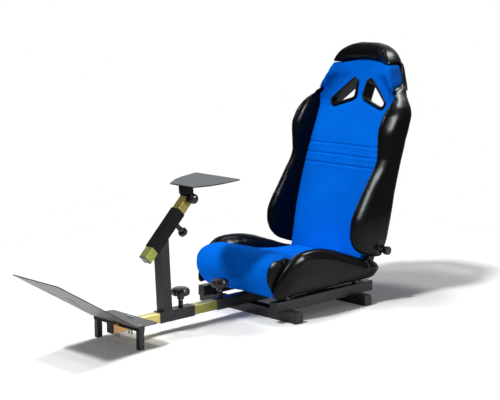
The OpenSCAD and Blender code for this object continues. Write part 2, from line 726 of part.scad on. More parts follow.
module leg(s) {
    color("#232527") translate([s * leg_x, leg_y, foot_t])
        box_tube(leg_w, beam_top - foot_t, 1.8, bridge_d - 5.2);
}

module leg_left() { leg(1); }
module leg_right() { leg(-1); }

module leg_feet() {
    w = leg_w - 3.8;
    d = bridge_d - 9;
    color("#101112") for (s = [-1, 1]) translate([s * leg_x, leg_y, 0]) {
        translate([-leg_w / 2, -(bridge_d - 5.2) / 2, 0]) cube([leg_w, bridge_d - 5.2, foot_t]);
        translate([-w / 2, -d / 2, 0]) cube([w, d, 14]);
    }
}

// Small hex bolts: through the beam with nuts under it, and short ones with nuts inside the legs.
module pedal_bolts() {
    top = pedal_z + pedal_t;
    color("#4a4d50") {
        for (y = beam_bolt_y, s = [-1, 1]) translate([s * beam_bolt_x, y, 0]) {
            translate([0, 0, top]) hex_bolt(3, top - 22, 4);
            translate([0, 0, beam_under - 5]) cylinder(r = 5.2, h = 5, $fn = 6);
        }
        for (x = [-leg_x, leg_x]) translate([x, leg_bolt_y, 0]) {
            translate([0, 0, top]) hex_bolt(3, 16, 4);
            translate([0, 0, beam_top - 5]) cylinder(r = 5.2, h = 5, $fn = 6);
        }
    }
}

// ---------- slider, post and column ----------

module slide_sleeve() {
    color("#1f2123") difference() {
        translate([0, -sleeve_front, mid_z]) along_y() box_tube(tube, sleeve_len);
        translate([0, sleeve_knob_y, top_z - 5]) cylinder(r = bore_r, h = 10);
    }
}

module slide_nut() {
    color("#1f2123") translate([0, sleeve_knob_y, top_z]) weld_nut();
}

// Column frame: +Z along the column, up and back; +Y square to it, down and back.
module in_column() { translate([0, column_y, column_z]) rotate([-45, 0, 0]) children(); }

module post() {
    color("#2b2d30") difference() {
        translate([0, post_y, top_z]) rotate([post_lean, 0, 0]) translate([0, 0, -10]) box_tube(tube, 330);
        in_column() translate([-50, -200, -300]) cube([100, 200 + tube / 2, 600]);
        translate([-50, post_y - 50, 0]) cube([100, 100, top_z]);
    }
}

module column_sleeve() {
    color("#1f2123") in_column() difference() {
        translate([0, 0, -column_len / 2]) box_tube(tube, column_len);
        translate([0, 0, column_knob_t]) rotate([-90, 0, 0]) cylinder(r = bore_r, h = tube);
    }
}

module column_nut() {
    color("#1f2123") in_column() translate([0, tube / 2, column_knob_t]) rotate([-90, 0, 0]) weld_nut();
}

module column_tube() {
    color("#c9a83c") in_column() difference() {
        translate([0, 0, -column_len / 2 - column_drop]) box_tube(beam_w, column_len / 2 + column_drop + pivot_reach + 9);
        translate([-30, 0, pivot_reach]) along_x() cylinder(r = bore_r, h = 60);
    }
}

module column_cap() {
    color("#9a9da0") in_column() translate([0, 0, -column_len / 2 - column_drop])
        rotate([180, 0, 0]) end_plug(beam_w, beam_w);
}

// Pivot bolt of the deck, through the ears and the top of the inner tube.
module deck_bolt() {
    color("#8a8d90") translate([0, pivot_y, deck_pivot_z]) along_x() {
        translate([0, 0, -ear_out - 6]) cylinder(r = 9, h = 5.7, $fn = 6);
        translate([0, 0, -ear_out - 1]) cylinder(r = stud_r, h = 2 * ear_out + 10);
    }
}

// Deck frame: origin on the pivot, tilted with the deck.
module in_deck() { translate([0, pivot_y, deck_pivot_z]) rotate([deck_tilt, 0, 0]) children(); }

module deck_plate() {
    b = deck_back_w / 2;
    f = deck_front_w / 2;
    right = concat(arc([f - 10, 10], 10, -90, -35), [[0.42 * f + 0.58 * b, 0.3 * deck_len],
        [0.14 * f + 0.86 * b, 0.57 * deck_len]], arc([b - 7, deck_len - 7], 7, -8, 90));
    left = [for (k = [len(right) - 1:-1:0]) [-right[k][0], right[k][1]]];
    color("#6e7276") in_deck() translate([0, deck_start, deck_lift]) linear_extrude(deck_t)
        polygon(concat(right, left));
}

// U-shaped yoke under the deck: a web, two rounded ears and a front lip over the column's end.
module deck_yoke() {
    lip_t = 4;
    lip_z = 16;
    color("#1f2123") in_deck() difference() {
        union() {
            for (s = [-1, 1]) translate([s > 0 ? ear_in : -ear_out, 0, 0]) {
                along_x() cylinder(r = 14, h = ear_t);
                translate([0, -14, 0]) cube([ear_t, 28, deck_lift]);
            }
            translate([-ear_out, -14 - lip_t, deck_lift - 4]) cube([2 * ear_out, 54 + lip_t, 4]);
            translate([-ear_out, -14 - lip_t, lip_z]) cube([2 * ear_out, lip_t, deck_lift - lip_z]);
        }
        translate([-40, 0, 0]) along_x() cylinder(r = bore_r, h = 80);
    }
}

// ---------- clamp knobs ----------

// A clamp on the beam: its screw stands on the nut, its knob above.
lower_knob_h = 43;
upper_knob_h = 34;
knob_rise = nut_h + 3;

module receiver_knob() {
    color("#141516") translate([0, receiver_knob_y, top_z + knob_rise]) lobed_knob(knob_d, lower_knob_h);
}

module receiver_stud() {
    color("#a5a8ab") translate([0, receiver_knob_y, top_z + knob_rise])
        clamp_stud(top_z + knob_rise - beam_top - seat_gap);
}

module slide_knob() {
    color("#141516") translate([0, sleeve_knob_y, top_z + knob_rise]) lobed_knob(knob_d, lower_knob_h);
}

module slide_stud() {
    color("#a5a8ab") translate([0, sleeve_knob_y, top_z + knob_rise])
        clamp_stud(top_z + knob_rise - beam_top - seat_gap);
}

module at_column_knob() {
    in_column() translate([0, tube / 2 + knob_rise, column_knob_t]) rotate([-90, 0, 0]) children();
}

module column_knob() { color("#141516") at_column_knob() lobed_knob(small_knob_d - 2, upper_knob_h); }

module column_stud() {
    color("#a5a8ab") at_column_knob() clamp_stud(tube / 2 + knob_rise - beam_w / 2 - seat_gap);
}

module deck_knob() {
    color("#141516") translate([ear_out + seat_gap, pivot_y, deck_pivot_z]) along_x()
        lobed_knob(small_knob_d, 24, 4);
}

// ---------- assembly ----------

front_bar();
rear_bar();
bar_caps();
rail_left();
rail_right();
rail_caps();
receiver();
receiver_nut();
frame_bolts();
pan_spacers();
seat_pan();
cushion_panel();
cushion_bolster_left();
cushion_bolster_right();
recliner_plate_left();
recliner_plate_right();
back_panel();
back_bolster_left();
back_bolster_right();
headrest_cap();
back_shell();
harness_bezel_left();
harness_bezel_right();
back_arm_left();
back_arm_right();
hoop_tube_left();
hoop_tube_right();
hoop_cross();
pivot_rod();
recline_knob();
recline_shaft();
beam_tube();
beam_caps();
pedal_plate();
leg_bridge();
leg_left();
leg_right();
leg_feet();
pedal_bolts();
slide_sleeve();
slide_nut();
post();
column_sleeve();
column_nut();
column_tube();
column_cap();
deck_bolt();
deck_plate();
deck_yoke();
deck_knob();
receiver_knob();
receiver_stud();
slide_knob();
slide_stud();
column_knob();
column_stud();
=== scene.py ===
import math
import bmesh
import bpy
import numpy as np
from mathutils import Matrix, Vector


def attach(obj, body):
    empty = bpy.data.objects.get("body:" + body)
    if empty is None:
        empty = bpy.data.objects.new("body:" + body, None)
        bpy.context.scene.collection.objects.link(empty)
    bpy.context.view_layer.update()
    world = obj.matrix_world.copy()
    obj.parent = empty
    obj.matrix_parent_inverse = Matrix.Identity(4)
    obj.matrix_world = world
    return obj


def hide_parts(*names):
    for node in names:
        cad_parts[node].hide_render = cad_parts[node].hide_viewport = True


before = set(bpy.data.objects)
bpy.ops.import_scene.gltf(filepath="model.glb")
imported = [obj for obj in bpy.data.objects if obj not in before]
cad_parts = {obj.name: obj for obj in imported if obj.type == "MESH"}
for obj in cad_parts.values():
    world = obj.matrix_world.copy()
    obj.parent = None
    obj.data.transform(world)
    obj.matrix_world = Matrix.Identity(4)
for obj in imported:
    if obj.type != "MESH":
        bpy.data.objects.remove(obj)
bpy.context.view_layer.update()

# ---------- camera ----------
# One camera at the height of a person's chest, off the sitter's left front corner.
# Nothing of it belongs to the seat.
camera_data = bpy.data.cameras.new("camera")
camera_data.sensor_width = 36
camera_data.lens = 93.6
camera = bpy.data.objects.new("camera", camera_data)
camera.location = (3.3034, -3.2332, 1.1853)
turn, drop = math.radians(45.6), math.radians(9.5)
looks_along = Vector((-math.sin(turn) * math.cos(drop), math.cos(turn) * math.cos(drop), -math.sin(drop)))
camera.rotation_euler = looks_along.to_track_quat("-Z", "Y").to_euler()
bpy.context.scene.collection.objects.link(camera)
bpy.context.scene.camera = camera
bpy.context.scene.view_settings.view_transform = "Standard"

# ---------- studio ----------
# A white paper floor and a white sheet behind the seat, in a dim room. The floor is bare paper, so it
# keeps the shadow.


def new_finish(name):
    """An empty material: its nodes, its links, its output and a way to add and set a node."""
    mat = bpy.data.materials.new(name)
    mat.use_nodes = True
    tree = mat.node_tree
    tree.nodes.clear()

    def add(kind, **values):
        node = tree.nodes.new(kind)
        for key, value in values.items():
            if hasattr(node, key):
                setattr(node, key, value)
            else:
                node.inputs[key.replace("_", " ")].default_value = value
        return node

    return mat, add, tree.links.new, add("ShaderNodeOutputMaterial")


paper, add, join, out = new_finish("studio_paper")
grain = add("ShaderNodeTexNoise", Scale=3.0, Detail=4.0)
tone = add("ShaderNodeValToRGB")
tone.color_ramp.elements[0].color = (0.945, 0.94, 0.935, 1)
tone.color_ramp.elements[1].color = (0.965, 0.96, 0.955, 1)
lit = add("ShaderNodeBsdfDiffuse")
join(grain.outputs["Fac"], tone.inputs["Fac"])
join(tone.outputs["Color"], lit.inputs["Color"])
glow = add("ShaderNodeEmission", Strength=0.06)
path = add("ShaderNodeLightPath")
seen = add("ShaderNodeMath", operation="MAXIMUM")
join(path.outputs["Is Camera Ray"], seen.inputs[0])
join(path.outputs["Is Glossy Ray"], seen.inputs[1])
both = add("ShaderNodeAddShader")
pick = add("ShaderNodeMixShader")
join(lit.outputs[0], both.inputs[0])
join(glow.outputs[0], both.inputs[1])
join(seen.outputs[0], pick.inputs[0])
join(lit.outputs[0], pick.inputs[1])
join(both.outputs[0], pick.inputs[2])
join(pick.outputs[0], out.inputs["Surface"])

floor_mesh = bpy.data.meshes.new("floor")
reach, middle, corners = 1.65, 0.3, 96
turns = [math.tau * i / corners for i in range(corners)]
floor_mesh.from_pydata([(reach * math.cos(q), middle + reach * math.sin(q), 0) for q in turns],
                       [], [tuple(range(corners))])
floor_mesh.materials.append(paper)
floor = bpy.data.objects.new("floor", floor_mesh)
floor.location.z = -0.0005
bpy.context.scene.collection.objects.link(floor)

room = bpy.data.worlds.new("room")
bpy.context.scene.world = room
room.use_nodes = True
tree = room.node_tree
tree.nodes.clear()
add, join = tree.nodes.new, tree.links.new
where = add("ShaderNodeTexCoord")


def pale_towards(way, low, high, dark, pale):
    """Strength of the room's light, from dark to pale as a ray turns towards a way."""
    facing = add("ShaderNodeVectorMath")
    facing.operation = "DOT_PRODUCT"
    facing.inputs[1].default_value = way
    join(where.outputs["Generated"], facing.inputs[0])
    shade = add("ShaderNodeMapRange")
    for key, value in zip(("From Min", "From Max", "To Min", "To Max"), (low, high, dark, pale)):
        shade.inputs[key].default_value = value
    join(facing.outputs["Value"], shade.inputs["Value"])
    return shade.outputs["Result"]


# the sheet behind the seat shows in glossy pieces; cloth and paint only get the dim room
sheet = pale_towards((-0.7, 0.7, 0.1), 0.45, 0.85, 0.1, 1.0)
dim_room = pale_towards((0, 0, 1), -0.2, 0.8, 0.05, 0.15)
path = add("ShaderNodeLightPath")
glossy = add("ShaderNodeMath")
glossy.operation = "MAXIMUM"
join(path.outputs["Is Glossy Ray"], glossy.inputs[0])
join(path.outputs["Is Transmission Ray"], glossy.inputs[1])
other = add("ShaderNodeMix")
join(glossy.outputs[0], other.inputs["Factor"])
join(dim_room, other.inputs["A"])
join(sheet, other.inputs["B"])
light, white = add("ShaderNodeBackground"), add("ShaderNodeBackground")
join(other.outputs["Result"], light.inputs["Strength"])
light.inputs["Color"].default_value = (0.97, 0.985, 1.0, 1)
white.inputs["Color"].default_value = (1, 1, 1, 1)
sky = add("ShaderNodeMixShader")
join(path.outputs["Is Camera Ray"], sky.inputs[0])
join(light.outputs[0], sky.inputs[1])
join(white.outputs[0], sky.inputs[2])
world_out = add("ShaderNodeOutputWorld")
join(sky.outputs[0], world_out.inputs["Surface"])


def hang_lamp(name, kind, place, aim, power, size, tall=None, card=False):
    """A lamp at a place, turned towards a point. A card only shows in glossy pieces."""
    data = bpy.data.lights.new(name, kind)
    data.energy = power
    if kind == "SUN":
        data.angle = math.radians(size)
    else:
        data.shape = "RECTANGLE"
        data.size, data.size_y = size, tall
        data.color = (0.93, 0.97, 1.0)
    lamp = bpy.data.objects.new(name, data)
    lamp.location = place
    lamp.rotation_euler = (Vector(aim) - Vector(place)).to_track_quat("-Z", "Y").to_euler()
    lamp.visible_diffuse = not card
    bpy.context.scene.collection.objects.link(lamp)


hang_lamp("key", "SUN", (-0.1, -0.62, 1), (0, 0, 0), 2.2, 7)
hang_lamp("mid_key", "SUN", (-0.2, -0.35, 1), (0, 0, 0), 0.4, 8)
hang_lamp("top_key", "SUN", (-0.28, -0.04, 1), (0, 0, 0), 0.8, 9)
hang_lamp("side_card", "AREA", (2.4, 0.95, 1.45), (0.23, 0.45, 0.55), 165, 0.6, 1.5, card=True)
hang_lamp("top_card", "AREA", (0.76, 1.99, 2.49), (0.12, 0.62, 0.91), 50, 0.7, 0.5, card=True)

# ---------- floor frame and the other black steel ----------
# Square steel tubes and bent steel plates, cut, welded and bolted, then powder coated in a dark satin
# black. The coat has a fine orange peel and is a little lighter along its sharp edges.


def ramp_of(add, *stops):
    """A colour ramp through (place, colour) stops."""
    node = add("ShaderNodeValToRGB")
    parts = node.color_ramp.elements
    while len(parts) < len(stops):
        parts.new(0.5)
    for part, (place, colour) in zip(parts, stops):
        part.position = place
        part.color = (*colour, 1)
    return node


def unevenly_dull(add, join, tex, skin, low, high):
    """Roughness of a skin, from low to high with a texture."""
    dull = add("ShaderNodeMapRange")
    dull.inputs["To Min"].default_value = low
    dull.inputs["To Max"].default_value = high
    join(tex.outputs["Fac"], dull.inputs["Value"])
    join(dull.outputs["Result"], skin.inputs["Roughness"])


def raised(add, join, height, skin, strength, distance):
    """Relief of a skin from a texture's output."""
    relief = add("ShaderNodeBump", Strength=strength, Distance=distance)
    join(height, relief.inputs["Height"])
    join(relief.outputs["Normal"], skin.inputs["Normal"])


def powder_coat(name, body, rough, shine=0.5, peel=0.12):
    """Satin powder coat: cloudy body colour, uneven sheen and a fine orange peel."""
    mat, add, join, out = new_finish(name)
    coat = add("ShaderNodeBsdfPrincipled", Metallic=0.0)
    coat.inputs["Specular IOR Level"].default_value = shine
    place = add("ShaderNodeTexCoord")
    cloud = add("ShaderNodeTexNoise", Scale=14.0, Detail=5.0)
    fine = add("ShaderNodeTexNoise", Scale=650.0, Detail=2.0)
    dust = add("ShaderNodeTexNoise", Scale=90.0, Detail=6.0, Roughness=0.7)
    for tex in (cloud, fine, dust):
        join(place.outputs["Object"], tex.inputs["Vector"])
    tint = ramp_of(add, (0.3, [c * 0.85 for c in body]), (0.7, [c * 1.15 for c in body]))
    join(cloud.outputs["Fac"], tint.inputs["Fac"])
    # the colour turns lighter along the sharp edges
    edge = add("ShaderNodeNewGeometry")
    sharp_edge_lighter = ramp_of(add, (0.52, (0, 0, 0)), (0.6, (0.5, 0.5, 0.5)))
    join(edge.outputs["Pointiness"], sharp_edge_lighter.inputs["Fac"])
    colour = add("ShaderNodeMix", data_type="RGBA")
    colour.inputs["B"].default_value = (*[min(1, c * 2.2 + 0.01) for c in body], 1)
    join(sharp_edge_lighter.outputs["Color"], colour.inputs["Factor"])
    join(tint.outputs["Color"], colour.inputs["A"])
    join(colour.outputs["Result"], coat.inputs["Base Color"])
    unevenly_dull(add, join, dust, coat, rough - 0.05, rough + 0.07)
    raised(add, join, fine.outputs["Fac"], coat, peel, 0.0003)
    join(coat.outputs[0], out.inputs["Surface"])
    return mat


def finish_node(name, mat, soften, steps=2):
    """Puts a finish on a CAD node and rounds its sharp edges."""
    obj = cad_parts[name]
    if not obj.material_slots:
        obj.data.materials.append(mat)
    for slot in obj.material_slots:
        slot.material = mat
    weld = obj.modifiers.new("weld", "WELD")
    weld.merge_threshold = 0.00002
    edge = obj.modifiers.new("edge", "BEVEL")
    edge.width = soften
    edge.segments = steps
    edge.limit_method = "ANGLE"
    edge.angle_limit = math.radians(35)
    edge.harden_normals = True


frame_black = powder_coat("frame_black", (0.011, 0.0114, 0.0124), 0.36, shine=0.34)
for name in ("front_bar", "rear_bar", "rail_left", "rail_right", "receiver", "slide_sleeve", "post",
             "leg_right", "leg_left"):
    finish_node(name, frame_black, 0.0012, 3)
# the sleeve, yoke and bridge are a shade deeper than the frame
sleeve_black = powder_coat("sleeve_black", (0.003, 0.003, 0.0035), 0.34, shine=0.12)
for name in ("column_sleeve", "leg_bridge", "deck_yoke"):
    finish_node(name, sleeve_black, 0.0012, 3)
for name in ("receiver_nut", "slide_nut", "column_nut"):
    finish_node(name, frame_black, 0.0004)
pan_black = powder_coat("pan_black", (0.012, 0.012, 0.013), 0.5, shine=0.35)
for name in ("seat_pan", "recliner_plate_left", "recliner_plate_right", "back_arm_left", "back_arm_right",
             "hoop_tube_left", "hoop_tube_right", "hoop_cross"):
    finish_node(name, pan_black, 0.0004)

# ---------- zinc plated tubes ----------
# The beam and the column are square steel tubes that slide in the sleeves. They are zinc plated and
# yellow passivated, so the gold runs into olive, rose and a little green, with fine drawn streaks. Their
# sides are painted darker and rosier than their tops, as shade and reflection, and one end of each tube is
# painted darker, partly the tint and partly shade.


def zinc_plate(name, ends, lit_top_stops, shaded_side_stops):
    """Yellow passivated zinc: its colour runs along the tube and darkens towards one end, partly the tint and
    partly painted shade, drifts a little and has fine drawn streaks; the sides get their own darker, rosier
    colours than the top, as painted shade and reflection.
    """
    mat, add, join, out = new_finish(name)
    plate = add("ShaderNodeBsdfPrincipled", Metallic=0.8)
    place = add("ShaderNodeTexCoord")
    streak = add("ShaderNodeMapping")
    streak.inputs["Scale"].default_value = (24, 9, 24)
    drift = add("ShaderNodeTexNoise", Scale=1.0, Detail=3.0, Distortion=0.6)
    scratch = add("ShaderNodeTexNoise", Scale=1.0, Detail=4.0, Roughness=0.7)
    scratched = add("ShaderNodeMapping")
    scratched.inputs["Scale"].default_value = (500, 9, 500)
    join(place.outputs["Object"], streak.inputs["Vector"])
    join(streak.outputs[0], drift.inputs["Vector"])
    where = add("ShaderNodeSeparateXYZ")
    join(place.outputs["Object"], where.inputs[0])
    run = add("ShaderNodeMapRange")
    run.inputs["From Min"].default_value, run.inputs["From Max"].default_value = ends
    run.inputs["To Min"].default_value, run.inputs["To Max"].default_value = -0.25, 0.75
    join(where.outputs["Y"], run.inputs["Value"])
    along = add("ShaderNodeMath", operation="MULTIPLY_ADD")
    along.inputs[1].default_value = 0.5
    join(drift.outputs["Fac"], along.inputs[0])
    join(run.outputs["Result"], along.inputs[2])
    # painted shade and reflection: the sides get darker, rosier colours than the top, mixed in by how far a
    # face turns upwards
    lit_tops, shaded_sides = ramp_of(add, *lit_top_stops), ramp_of(add, *shaded_side_stops)
    turned = add("ShaderNodeSeparateXYZ")
    join(place.outputs["Normal"], turned.inputs[0])
    both = add("ShaderNodeMix", data_type="RGBA")
    join(along.outputs[0], lit_tops.inputs["Fac"])
    join(along.outputs[0], shaded_sides.inputs["Fac"])
    join(turned.outputs["Z"], both.inputs["Factor"])
    join(shaded_sides.outputs["Color"], both.inputs["A"])
    join(lit_tops.outputs["Color"], both.inputs["B"])
    join(both.outputs["Result"], plate.inputs["Base Color"])
    join(place.outputs["Object"], scratched.inputs["Vector"])
    join(scratched.outputs[0], scratch.inputs["Vector"])
    unevenly_dull(add, join, scratch, plate, 0.24, 0.46)
    raised(add, join, scratch.outputs["Fac"], plate, 0.08, 0.0003)
    join(plate.outputs[0], out.inputs["Surface"])
    return mat


zinc_yellow = zinc_plate("zinc_yellow", (-0.68, -0.16),
                         [(0.0, (0.75, 0.46, 0.2)), (0.3, (0.85, 0.74, 0.36)), (0.6, (0.6, 0.54, 0.19)),
                          (1.0, (0.45, 0.43, 0.13))],
                         [(0.0, (0.8, 0.42, 0.2)), (0.18, (0.74, 0.44, 0.17)), (0.38, (0.66, 0.56, 0.17)),
                          (0.7, (0.36, 0.35, 0.09)), (1.0, (0.2, 0.2, 0.045))])
finish_node("beam_tube", zinc_yellow, 0.0012, 3)
zinc_olive = zinc_plate("zinc_olive", (-0.53, -0.3),
                        [(0.1, (0.36, 0.4, 0.11)), (0.5, (0.3, 0.3, 0.06)), (0.8, (0.26, 0.2, 0.05)),
                         (1.0, (0.22, 0.22, 0.045))],
                        [(0.1, (0.32, 0.36, 0.09)), (0.5, (0.26, 0.25, 0.05)), (0.8, (0.3, 0.2, 0.06)),
                         (1.0, (0.24, 0.23, 0.05))])
finish_node("column_tube", zinc_olive, 0.0012, 3)

# ---------- plugs, spacers and feet ----------
# Ribbed plastic plugs pressed into the open ends of the tubes, plastic spacers under the pan and
# rubber pads glued under the legs. All moulded, with a fine dull grain.


def moulded(name, body, rough, grain_scale=900, grain_depth=0.15, gloss=0.5):
    """Moulded plastic or rubber: cloudy colour and a fine grain from the mould."""
    mat, add, join, out = new_finish(name)
    skin = add("ShaderNodeBsdfPrincipled", Metallic=0.0)
    skin.inputs["Specular IOR Level"].default_value = gloss
    place = add("ShaderNodeTexCoord")
    cloud = add("ShaderNodeTexNoise", Scale=40.0, Detail=4.0)
    grain = add("ShaderNodeTexVoronoi", Scale=grain_scale)
    join(place.outputs["Object"], cloud.inputs["Vector"])
    join(place.outputs["Object"], grain.inputs["Vector"])
    tint = ramp_of(add, (0.3, [c * 0.82 for c in body]), (0.7, [c * 1.18 for c in body]))
    join(cloud.outputs["Fac"], tint.inputs["Fac"])
    join(tint.outputs["Color"], skin.inputs["Base Color"])
    unevenly_dull(add, join, cloud, skin, rough - 0.05, rough + 0.08)
    raised(add, join, grain.outputs["Distance"], skin, grain_depth, 0.0003)
    join(skin.outputs[0], out.inputs["Surface"])
    return mat


cap_black = moulded("cap_black", (0.012, 0.012, 0.013), 0.48, gloss=0.3)
for name in ("bar_caps", "rail_caps", "pan_spacers", "beam_caps"):
    finish_node(name, cap_black, 0.001)
foot_rubber = moulded("foot_rubber", (0.02, 0.02, 0.02), 0.75, grain_scale=500, grain_depth=0.3)
finish_node("leg_feet", foot_rubber, 0.001)

# ---------- bolts, studs and shafts ----------
# Turned and rolled steel, bright zinc plated. The marks of the tool run round them and the plating
# is a little milky.
bolt_steel, add, join, out = new_finish("bolt_steel")
steel = add("ShaderNodeBsdfPrincipled", Metallic=1.0)
place = add("ShaderNodeTexCoord")
milk = add("ShaderNodeTexNoise", Scale=90.0, Detail=5.0)
join(place.outputs["Object"], milk.inputs["Vector"])
tint = ramp_of(add, (0.3, (0.42, 0.42, 0.43)), (0.7, (0.62, 0.62, 0.64)))
join(milk.outputs["Fac"], tint.inputs["Fac"])
join(tint.outputs["Color"], steel.inputs["Base Color"])
unevenly_dull(add, join, milk, steel, 0.26, 0.44)
turned = add("ShaderNodeTexNoise", Scale=1400.0, Detail=2.0)
join(place.outputs["Object"], turned.inputs["Vector"])
raised(add, join, turned.outputs["Fac"], steel, 0.1, 0.0002)
join(steel.outputs[0], out.inputs["Surface"])
for name in ("frame_bolts", "pivot_rod", "recline_shaft", "pedal_bolts", "deck_bolt", "receiver_stud",
             "slide_stud", "column_stud"):
    finish_node(name, bolt_steel, 0.0003)

# ---------- pedal plate and wheel deck ----------
# Laser cut and bent steel sheet, coated in satin grey. Its cut edges and slot walls are painted black as
# shade, and the pedal plate is painted paler beneath as light from the floor. It is bolted to the bridge over
# the legs, and the deck sits on its yoke.
# painted shade: the black of the cut edges and the slot walls, which sit in shade
painted_edge_shade = (0.006, 0.006, 0.007)


def painted_light_by_facing(name, way, upper, under, rough):
    """Coated sheet coloured by the way a face looks, which paints in light and shade: one grey on faces
    towards a way, another grey on faces turned away from it, and painted black shade on the cut edges
    between.
    """
    mat, add, join, out = new_finish(name)
    coat = add("ShaderNodeBsdfPrincipled", Metallic=0.0)
    coat.inputs["Specular IOR Level"].default_value = 0.35
    place = add("ShaderNodeTexCoord")
    side = add("ShaderNodeVectorMath", operation="DOT_PRODUCT")
    side.inputs[1].default_value = way
    join(place.outputs["Normal"], side.inputs[0])
    spread = add("ShaderNodeMapRange")
    spread.inputs["From Min"].default_value = -1
    join(side.outputs["Value"], spread.inputs["Value"])
    # faces turned away get the under colour, faces across get the painted black edge shade, faces towards the
    # way get the upper colour
    faces = ramp_of(add, (0.1, under), (0.14, painted_edge_shade), (0.86, painted_edge_shade), (0.9, upper))
    join(spread.outputs["Result"], faces.inputs["Fac"])
    cloud = add("ShaderNodeTexNoise", Scale=22.0, Detail=6.0, Roughness=0.65)
    fine = add("ShaderNodeTexNoise", Scale=600.0, Detail=2.0)
    for tex in (cloud, fine):
        join(place.outputs["Object"], tex.inputs["Vector"])
    shift = ramp_of(add, (0.3, (0.86, 0.86, 0.86)), (0.7, (1, 1, 1)))
    join(cloud.outputs["Fac"], shift.inputs["Fac"])
    tint = add("ShaderNodeMix", data_type="RGBA", blend_type="MULTIPLY")
    tint.inputs["Factor"].default_value = 1.0
    join(faces.outputs["Color"], tint.inputs["A"])
    join(shift.outputs["Color"], tint.inputs["B"])
    join(tint.outputs["Result"], coat.inputs["Base Color"])
    unevenly_dull(add, join, cloud, coat, rough - 0.04, rough + 0.08)
    raised(add, join, fine.outputs["Fac"], coat, 0.12, 0.0003)
    join(coat.outputs[0], out.inputs["Surface"])
    return mat


# the pedal plate is painted darker on top and paler beneath, standing in for light thrown up from the floor
plate_grey = painted_light_by_facing("plate_grey", (0, 0.3, 0.954), (0.1, 0.103, 0.108), (0.25, 0.265, 0.275), 0.42)
finish_node("pedal_plate", plate_grey, 0.0004)
# the deck is painted darker beneath, as shade
deck_grey = painted_light_by_facing("deck_grey", (0, -0.087, 0.996), (0.075, 0.083, 0.092), (0.04, 0.04, 0.045), 0.42)
finish_node("deck_plate", deck_grey, 0.0004)
# the plug in the foot of the column is grey on the face turned down and forward, and takes the painted black
# edge shade on its other faces
plug_grey = painted_light_by_facing("plug_grey", (0, -0.707, -0.707), (0.3, 0.31, 0.32), painted_edge_shade, 0.4)
finish_node("column_cap", plug_grey, 0.001)

# ---------- clamp knobs and recline dial ----------
# Black thermoset knobs with six or eight lobes, moulded onto a steel insert. A stud through each
# clamp knob presses on the tube inside, and the dial turns the recliner's shaft.
knob_black = moulded("knob_black", (0.01, 0.01, 0.012), 0.27, grain_scale=600, grain_depth=0.06)
for name in ("receiver_knob", "slide_knob", "column_knob", "deck_knob", "recline_knob"):
    finish_node(name, knob_black, 0.0015, 3)

# ---------- rear cover and harness surrounds ----------
# The cover is a vacuum formed sheet with a leather-like grain. The surrounds of the belt holes are
# smooth moulded frames, clipped through the foam.
shell_black = moulded("shell_black", (0.014, 0.014, 0.015), 0.5, grain_scale=380, grain_depth=0.35)
finish_node("back_shell", shell_black, 0.0006)
bezel_black = moulded("bezel_black", (0.005, 0.005, 0.006), 0.3, grain_scale=900, grain_depth=0.04, gloss=0.3)
for name in ("harness_bezel_left", "harness_bezel_right"):
    finish_node(name, bezel_black, 0.0015, 3)

# ---------- upholstery: cloth, vinyl and how a padded piece is made ----------
# Blue woven cloth and black grained vinyl, both cut and sewn as covers and pulled over moulded foam.
# Every padded piece is drawn as a run of sections, skinned, and then blown up a little like the foam
# under its tight cover.


def cover_cloth(name):
    """Woven blue cloth: crossing threads, slightly uneven dye, a soft nap."""
    mat, add, join, out = new_finish(name)
    cloth = add("ShaderNodeBsdfPrincipled", Metallic=0.0)
    cloth.inputs["Roughness"].default_value = 0.9
    cloth.inputs["Specular IOR Level"].default_value = 0.02
    place = add("ShaderNodeTexCoord")
    cloud = add("ShaderNodeTexNoise", Scale=7.0, Detail=5.0)
    join(place.outputs["Object"], cloud.inputs["Vector"])
    fleck = add("ShaderNodeTexNoise", Scale=520.0, Detail=2.0)
    join(place.outputs["Object"], fleck.inputs["Vector"])
    warp = add("ShaderNodeTexWave", wave_type="BANDS", bands_direction="Z", Scale=330.0, Distortion=1.2)
    weft = add("ShaderNodeTexWave", wave_type="BANDS", bands_direction="X", Scale=330.0, Distortion=1.2)
    for tex in (warp, weft):
        join(place.outputs["Object"], tex.inputs["Vector"])
    cross = add("ShaderNodeMath", operation="MULTIPLY")
    join(warp.outputs["Fac"], cross.inputs[0])
    join(weft.outputs["Fac"], cross.inputs[1])
    mix = add("ShaderNodeMath", operation="MULTIPLY_ADD")
    mix.inputs[1].default_value = 0.35
    join(fleck.outputs["Fac"], mix.inputs[0])
    join(cloud.outputs["Fac"], mix.inputs[2])
    tint = ramp_of(add, (0.45, (0.0, 0.13, 0.68)), (0.65, (0.0, 0.15, 0.775)), (0.85, (0.0, 0.168, 0.83)))
    join(mix.outputs[0], tint.inputs["Fac"])
    join(tint.outputs["Color"], cloth.inputs["Base Color"])
    relief = add("ShaderNodeBump", Strength=0.3, Distance=0.0004)
    join(cross.outputs[0], relief.inputs["Height"])
    nap = add("ShaderNodeBump", Strength=0.25, Distance=0.0006)
    join(fleck.outputs["Fac"], nap.inputs["Height"])
    join(relief.outputs["Normal"], nap.inputs["Normal"])
    join(nap.outputs["Normal"], cloth.inputs["Normal"])
    join(cloth.outputs[0], out.inputs["Surface"])
    return mat


